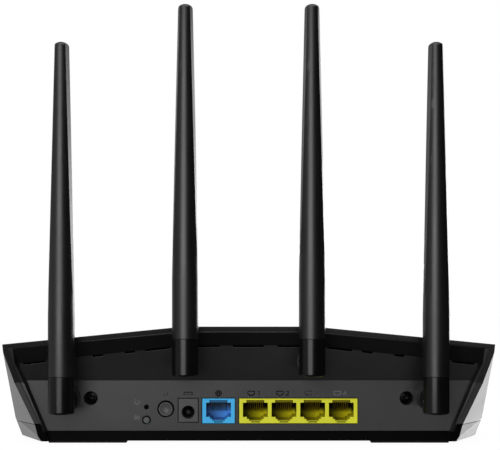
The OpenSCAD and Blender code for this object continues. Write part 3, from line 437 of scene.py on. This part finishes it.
# screws in mm, and the cross sunk into each head
rearScrew = {"headR": 2.8, "headH": 2.0, "shankR": 1.1, "length": 11.0}
caseScrew = {"headR": 2.8, "headH": 2.0, "shankR": 1.3, "length": 14.0}
boardScrew = {"headR": 2.5, "headH": 1.6, "shankR": 1.0, "length": 4.4}
recess = {"armW": 0.42, "armL": 1.45, "depth": 1.0, "crown": 0.45, "around": 96, "rings": 22, "edge": 0.10}


# a pan head screw as radius and height against angle: the head is a shallow crown, height falling with the
# square of the radius; a cross is sunk into it where either arm's distance function is below zero, and the
# profile goes on over the rim, under the head and down the shank to a pointed end
def screwShape(size):
    angle = np.arange(recess["around"]) * 2 * np.pi / recess["around"]
    radius = np.linspace(0.05, size["headR"] - 0.25, recess["rings"])[:, None] * np.ones_like(angle)
    across, up = radius * np.cos(angle), radius * np.sin(angle)
    arms = [np.maximum(abs(a) - recess["armW"], abs(b) - recess["armL"]) for a, b in ((across, up), (up, across))]
    sunk = np.clip(0.5 - np.minimum(*arms) / recess["edge"], 0, 1)
    taper = 1 - 0.5 * (radius / recess["armL"]) ** 2
    crown = size["headH"] - recess["crown"] * (radius / size["headR"]) ** 2
    height = crown - recess["depth"] * sunk * np.clip(taper, 0.2, 1)
    rim = size["headH"] - recess["crown"]
    below = size["headH"] - size["length"]
    skirt = [(size["headR"] - 0.06, rim - 0.12), (size["headR"], rim - 0.35), (size["headR"], 0.1),
        (size["headR"] - 0.1, 0), (size["shankR"], 0), (size["shankR"], below + 0.8), (0.25, below)]
    radii = np.vstack([radius] + [np.full_like(angle, r) for r, h in skirt])
    heights = np.vstack([height] + [np.full_like(angle, h) for r, h in skirt])
    points = np.stack([radii * np.cos(angle), radii * np.sin(angle), heights], -1).reshape(-1, 3)
    return points, tubeFaces(len(radii), recess["around"])


# copies of one screw at the given places, laid along the outward direction and each turned about its own axis
def addScrews(node, name, size, places, outward, finish):
    shape, rings = screwShape(size)
    across, outward = np.array((1, 0, 0)), np.array(outward, float)
    side = np.cross(outward, across)
    parts = []
    for index, place in enumerate(places):
        turn = 0.4 + 0.9 * index
        first, second = np.cos(turn) * across + np.sin(turn) * side, -np.sin(turn) * across + np.cos(turn) * side
        parts.append((place + (shape[:, :1] * first + shape[:, 1:2] * second + shape[:, 2:] * outward) * mm, rings))
    addPiece(name, *joined(parts), "housing", finish, finish, node)


# centres of a node's screws on its box: x and y (or x alone) in from the box's sides, by the head's radius
def boxCorners(node, size, z=None, y=None):
    low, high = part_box(node)
    inset = size["headR"] * mm
    columns = (low[0] + inset, high[0] - inset)
    if y is not None:
        return [np.array((x, y, (low[2] + high[2]) / 2)) for x in columns]
    return [np.array((x, row, z)) for x in columns for row in (low[1] + inset, high[1] - inset)]


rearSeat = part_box("rear_screws")[0][1] + rearScrew["headH"] * mm
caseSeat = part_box("case_screws")[0][2] + caseScrew["headH"] * mm
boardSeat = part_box("board_screws")[1][2] - boardScrew["headH"] * mm
addScrews("rear_screws", "rearScrews", rearScrew, boxCorners("rear_screws", rearScrew, y=rearSeat), (0, -1, 0),
    "dark_steel")
addScrews("case_screws", "caseScrews", caseScrew, boxCorners("case_screws", caseScrew, z=caseSeat), (0, 0, -1),
    "steel")
addScrews("board_screws", "boardScrews", boardScrew, boxCorners("board_screws", boardScrew, z=boardSeat), (0, 0, 1),
    "steel")
print("screws made")

contact = {"count": 8, "pitch": 1.02, "radius": 0.21, "around": 8,
    "path": ((-1.9, 19.7), (-2.6, 19.2), (-9.0, 14.3), (-9.6, 13.8))}
bayShadeWall = {"width": 8.66, "front": -1.2, "back": -1.7, "foot": 18.74, "top": 20.0}


# centres across the panel of the single network socket and of the four in the block, in mm
def portCentres():
    return middle("wan_jack"), [middle("lan_jacks") + step * socketCut["pitch"] for step in (-1.5, -0.5, 0.5, 1.5)]


# spring contacts: each a round wire along a path of out and height, sloping back and down from under the bay;
# at each point of the path a circle is set off in x by the cosine and in height by the sine of its angle
def addContacts():
    path = np.array(contact["path"])
    angle = np.arange(contact["around"]) * 2 * np.pi / contact["around"]
    height = path[:, 1:] + contact["radius"] * np.sin(angle)
    out = np.broadcast_to(path[:, :1], height.shape)
    faces = tubeFaces(len(path), contact["around"])
    single, block = portCentres()
    parts = []
    for centre in [single] + block:
        for wire in range(contact["count"]):
            x = centre + (wire - (contact["count"] - 1) / 2) * contact["pitch"] + contact["radius"] * np.cos(angle)
            rows = np.stack([np.broadcast_to(x * mm, height.shape), panelY - out * mm, baseZ + height * mm], -1)
            parts.append((rows.reshape(-1, 3), faces))
    addPiece("jackContacts", *joined(parts), "housing", "gold", "gold", "jack_contacts")


# thin upright walls that close the bay above the contacts, one to a socket: a rectangle carried up; they stand
# where the bay lies in shade and take the socket's painted shade colour for the bay
def addBayShadeWalls(name, centres, finish):
    ring = ((-1, bayShadeWall["front"]), (1, bayShadeWall["front"]), (1, bayShadeWall["back"]), (-1, bayShadeWall["back"]))
    parts = []
    for centre in centres:
        corners = [at(centre + side * bayShadeWall["width"] / 2, out, height)
            for height in (bayShadeWall["foot"], bayShadeWall["top"]) for side, out in ring]
        parts.append((np.array(corners), tubeFaces(2, 4)))
    addPiece(name, *joined(parts), "housing", finish, finish)


addContacts()
addBayShadeWalls("wanBayShadeWall", [portCentres()[0]], "blue")
addBayShadeWalls("lanBayShadeWalls", portCentres()[1], "yellow")
print("sockets finished")

powerCap = {"slimmer": 0.25, "rimIn": 0.60, "step": 0.10, "dish": 0.85, "stemR": 1.3, "capL": 5.0, "around": 96,
    "rings": 14}


# the power button turned on its own axis: a flat rim, a sharp step down, and a dish whose depth falls with
# the square of the radius; behind it the cap's side and the stem that enters the switch
def addPowerCap():
    low, high = (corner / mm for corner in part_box("power_button"))
    radius, length = (high[0] - low[0]) / 2 - powerCap["slimmer"], high[1] - low[1]
    edge, step, stem = radius - powerCap["rimIn"], powerCap["step"], powerCap["stemR"]
    dish = [(r, step + powerCap["dish"] * (1 - (r / edge) ** 2))
        for r in np.linspace(0.05, edge - 0.12, powerCap["rings"])]
    rim = [(edge - 0.06, step - 0.06), (edge - 0.02, 0.10), (edge + 0.04, 0.02), (edge + 0.10, 0),
        (radius - 0.16, 0), (radius - 0.06, 0.05), (radius, 0.20)]
    back = [(radius, powerCap["capL"]), (stem, powerCap["capL"]), (stem, length), (0.05, length)]
    radii, depths = np.array(dish + rim + back).T
    angle = np.arange(powerCap["around"]) * 2 * np.pi / powerCap["around"]
    points = np.stack([(low[0] + high[0]) / 2 + np.outer(radii, np.cos(angle)),
        low[1] + np.outer(depths, np.ones_like(angle)),
        (low[2] + high[2]) / 2 + np.outer(radii, np.sin(angle))], -1).reshape(-1, 3) * mm
    addPiece("powerButton", points, tubeFaces(len(radii), powerCap["around"]), "power_key", "cap", "cap",
        "power_button")


addPowerCap()
print("power button made")

marks = {"height": 23.3, "stroke": 0.44, "proud": 0.05, "sunk": 0.03, "signBefore": 2.0, "numeralAfter": 1.7,
    "besideButtons": 4.6, "abovePairing": 1.2, "resetBelow": 4.2}


# a flat bar carried along a path of x and height on the panel: each point is set off to both sides along the
# bisector of its two neighbouring strokes, lengthened at corners so that the bar keeps its width
def strokeBar(path, closed=False):
    path = np.asarray(path, float)
    ahead = np.roll(path, -1, 0) - path
    if not closed:
        ahead[-1] = ahead[-2]
    behind = np.roll(ahead, 1, 0)
    if not closed:
        behind[0] = ahead[0]
    ahead, behind = (v / np.linalg.norm(v, axis=1, keepdims=True) for v in (ahead, behind))
    bisector = ahead + behind
    bisector /= np.linalg.norm(bisector, axis=1, keepdims=True)
    stretch = 1 / np.maximum((bisector * ahead).sum(1), 0.5)
    side = np.stack([-bisector[:, 1], bisector[:, 0]], 1) * (stretch * marks["stroke"] / 2)[:, None]
    rows = np.stack([path + side, path - side, path - side, path + side], 1)
    out = np.broadcast_to([marks["proud"], marks["proud"], -marks["sunk"], -marks["sunk"]], rows.shape[:2])
    points = np.stack([rows[..., 0] * mm, panelY - out * mm, baseZ + rows[..., 1] * mm], -1).reshape(-1, 3)
    if closed:
        return points, (np.array(ringFaces(len(path) + 1, 4)) % len(points)).tolist()
    return points, tubeFaces(len(path), 4)


# part of an oval round a sign's middle, clockwise from its top, with the angles in degrees
def arcPath(radiusX, radiusH, start, end, steps=24, rise=0.0):
    angle = np.radians(np.linspace(start, end, steps))
    return np.stack([radiusX * np.sin(angle), rise + radiusH * np.cos(angle)], 1)


# a whole oval, which stops one step short of its start so that the closed stroke joins there
def ovalPath(radiusX, radiusH, steps=24):
    return arcPath(radiusX, radiusH, 0, 360 - 360 / steps, steps)


# each sign's strokes round its own middle, in mm: those with two ends, and those that close
signs = {
    "globe": {"opened": [[(-1.3, 0), (1.3, 0)]], "closed": [ovalPath(1.4, 1.3), ovalPath(0.5, 1.3)]},
    "supply": {"opened": [[(-2.4, 0.5), (2.4, 0.5)]] + [[(x - 0.6, -0.5), (x + 0.6, -0.5)] for x in (-1.8, 0, 1.8)]},
    "power": {"opened": [arcPath(1.05, 1.05, 38, 322, rise=-0.1), [(0, 0.15), (0, 1.25)]]},
    "pairing": {"opened": [arcPath(1.1, 1.1, turn + 20, turn + 160, 14) for turn in (0, 180)],
        "closed": [ovalPath(0.3, 0.3)]},
    "reset": {"opened": [arcPath(1.05, 1.05, 50, 350, 20), [(-0.9, 1.5), (-0.1, 1.05), (-0.75, 0.45)]]},
    # a plug's outline with a step at its foot
    "socket": {"closed": [[(-1.6, 1.0), (1.6, 1.0), (1.6, -0.5), (0.8, -0.5), (0.8, -1.05), (-0.8, -1.05),
        (-0.8, -0.5), (-1.6, -0.5)]]},
    # plain numerals in a box 1.4 wide and 2.2 high
    "1": {"opened": [[(-0.45, 0.6), (0.1, 1.1), (0.1, -1.1)]]},
    "2": {"opened": [[(-0.6, 0.6), (-0.35, 1.0), (0.25, 1.05), (0.6, 0.65), (0.5, 0.15), (-0.65, -1.05),
        (0.7, -1.05)]]},
    "3": {"opened": [[(-0.6, 0.85), (-0.1, 1.1), (0.5, 0.85), (0.45, 0.3), (-0.1, 0.05), (0.5, -0.2), (0.6, -0.75),
        (0.1, -1.1), (-0.65, -0.9)]]},
    "4": {"opened": [[(0.35, -1.1), (0.35, 1.1), (-0.7, -0.45), (0.8, -0.45)]]}}


# generic signs above the sockets and beside the buttons, each put at its middle's x and height
def addMarks():
    high = marks["height"]
    single, block = portCentres()
    beside = middle("wps_button") - marks["besideButtons"]
    pairingHeight = middle("wps_button", 2) - baseZ / mm + marks["abovePairing"]
    places = [("globe", single, high), ("supply", middle("dc_jack"), high), ("power", middle("power_button"), high),
        ("pairing", beside, pairingHeight), ("reset", beside, high - marks["resetBelow"])]
    for numeral, centre in zip("1234", block):
        places += [("socket", centre - marks["signBefore"], high), (numeral, centre + marks["numeralAfter"], high)]
    parts = []
    for sign, x, height in places:
        for kind, strokes in signs[sign].items():
            parts += [strokeBar(np.add(stroke, (x, height)), kind == "closed") for stroke in strokes]
    addPiece("portMarks", *joined(parts), "housing", "gloss", "ink")


addMarks()
print("marks made")


studio = {"floorSize": 4.0, "floorGlow": 0.96, "floorColour": 0.07, "skyDiffuse": 0.54, "roomGloss": 0.32}
# black cards that keep parts of the room out of reflections: each one's aim, and the angles from it, in degrees,
# up to which the card is full and from which there is none
flags = {"lowRear": {"aim": (0.0, -0.62, -0.78), "full": 38, "none": 62},
    "right": {"aim": (0.97, -0.20, 0.10), "full": 54, "none": 76}}


# rays that show the floor itself: from the camera, in reflections and through clear parts
def seenRays(tree):
    path = put(tree, "ShaderNodeLightPath").outputs
    seen = calc(tree, "MAXIMUM", path["Is Camera Ray"], path["Is Glossy Ray"])
    return calc(tree, "MAXIMUM", seen, path["Is Transmission Ray"])


# a pale glowing floor that still takes a faint shadow
def addFloor():
    half = studio["floorSize"] / 2
    mesh = bpy.data.meshes.new("floor")
    mesh.from_pydata([(-half, -half, 0), (half, -half, 0), (half, half, 0), (-half, half, 0)], [], [(0, 1, 2, 3)])
    floor = bpy.data.objects.new("floor", mesh)
    scene.collection.objects.link(floor)
    material, tree, shader = startMaterial("paleFloor", (0.9, 0.9, 0.9))
    shader.inputs["Base Color"].default_value = (studio["floorColour"],) * 3 + (1,)
    shader.inputs["Roughness"].default_value = 1.0
    shader.inputs["Specular IOR Level"].default_value = 0.0
    shader.inputs["Emission Color"].default_value = (1, 1, 1, 1)
    glow = calc(tree, "MULTIPLY", seenRays(tree), studio["floorGlow"])
    tree.links.new(glow, shader.inputs["Emission Strength"])
    mesh.materials.append(material)
    # lamps and the room reach the underside through it, as light from a white table would
    floor.visible_diffuse = floor.visible_glossy = floor.visible_shadow = False


# a white room, dimmer in reflections and as light on matt faces, with the cards taken out of its reflections
def addWorld():
    world = bpy.data.worlds.new("paleRoom")
    scene.world = world
    world.use_nodes = True
    tree = world.node_tree
    direction = put(tree, "ShaderNodeTexCoord").outputs["Generated"]
    gloss = studio["roomGloss"]
    for flag in flags.values():
        near = put(tree, "ShaderNodeVectorMath", {0: direction, 1: flag["aim"]},
            operation="DOT_PRODUCT").outputs["Value"]
        full, none = np.cos(np.radians((flag["full"], flag["none"])))
        gloss = calc(tree, "MULTIPLY", remap(tree, near, full, none, 0.0, 1.0, soft=True), gloss)
    path = put(tree, "ShaderNodeLightPath").outputs
    straight = calc(tree, "MAXIMUM", path["Is Camera Ray"], path["Is Transmission Ray"])
    strength = blendValue(tree, path["Is Glossy Ray"], studio["skyDiffuse"], gloss)
    strength = blendValue(tree, straight, strength, 1.0)
    tree.links.new(strength, tree.nodes["Background"].inputs["Strength"])
    tree.nodes["Background"].inputs["Color"].default_value = (1, 1, 1, 1)


rods = tuple(f"antenna_rod_{number}" for number in (1, 2, 3, 4))
caseParts = ("top_cover", "bottom_case")
rearFaces = ("rear_panel", "rear_frame", "top_cover", "dc_jack", "powerButton", "wps_button")
# softboxes and cards in mm: place and target as x, out and height, then size; "level" is the brightness of the
# surface; gloss lamps show in reflections only, and "onlyOn" and "notOn" name the pieces they reach or pass by
lamps = {
    "mainSoftbox": {"place": (-165, 560, 165), "target": (-10, 0, 120), "size": (390, 460), "level": 3.6,
        "notOn": ("portMarks",)},
    "topSoftbox": {"place": (0, 60, 700), "target": (0, -40, 20), "size": (500, 400), "level": 1.8}}
glossLamps = {
    "rightRimLight": {"place": (260, -450, 130), "target": (60, 20, 110), "size": (240, 420), "level": 2.4},
    "leftRimLight": {"place": (-260, -450, 130), "target": (-60, 20, 110), "size": (240, 420), "level": 0.6},
    "rightRodEdge": {"place": (200, -450, 110), "target": (0, 0, 100), "size": (260, 160), "level": 4.6,
        "onlyOn": rods},
    "rightFloorCard": {"place": (330, -150, -105), "target": (112, 0, 22), "size": (230, 230), "level": 6.7,
        "onlyOn": caseParts},
    "leftFloorCard": {"place": (-330, -150, -105), "target": (-112, 0, 22), "size": (230, 230), "level": 2.4,
        "onlyOn": caseParts},
    "frontLowCard": {"place": (190, 560, -90), "target": (80, 0, 16), "size": (280, 130), "level": 3.2,
        "onlyOn": rearFaces},
    "leftInkCard": {"place": (-150, 420, -28), "target": (-54, 0, 22), "size": (130, 90), "level": 3.6,
        "onlyOn": ("portMarks",)},
    "rightInkCard": {"place": (121, 420, -28), "target": (45, 0, 22), "size": (110, 90), "level": 3.2,
        "onlyOn": ("portMarks",)}}


# a rectangular softbox aimed at a point, its power worked out from its brightness and area
def addLamp(name, place, target, size, level, glossOnly, onlyOn=(), notOn=()):
    width, height = size
    data = bpy.data.lights.new(name, "AREA")
    data.shape = "RECTANGLE"
    data.size, data.size_y = width * mm, height * mm
    data.energy = level * np.pi * width * height * mm * mm
    lamp = bpy.data.objects.new(name, data)
    start, end = at(*place), at(*target)
    lamp.location = start
    lamp.rotation_euler = Vector(end - start).to_track_quat("-Z", "Y").to_euler()
    lamp.visible_camera = False
    lamp.visible_diffuse = not glossOnly
    scene.collection.objects.link(lamp)
    if onlyOn or notOn:
        linked = bpy.data.collections.new(name + "Pieces")
        for node in onlyOn + notOn:
            linked.objects.link(bpy.data.objects[node])
        lamp.light_linking.receiver_collection = linked
        for entry in linked.collection_objects:
            entry.light_linking.link_state = "INCLUDE" if onlyOn else "EXCLUDE"


addFloor()
addWorld()
for name, values in lamps.items():
    addLamp(name, glossOnly=False, **values)
for name, values in glossLamps.items():
    addLamp(name, glossOnly=True, **values)
print("studio ready")
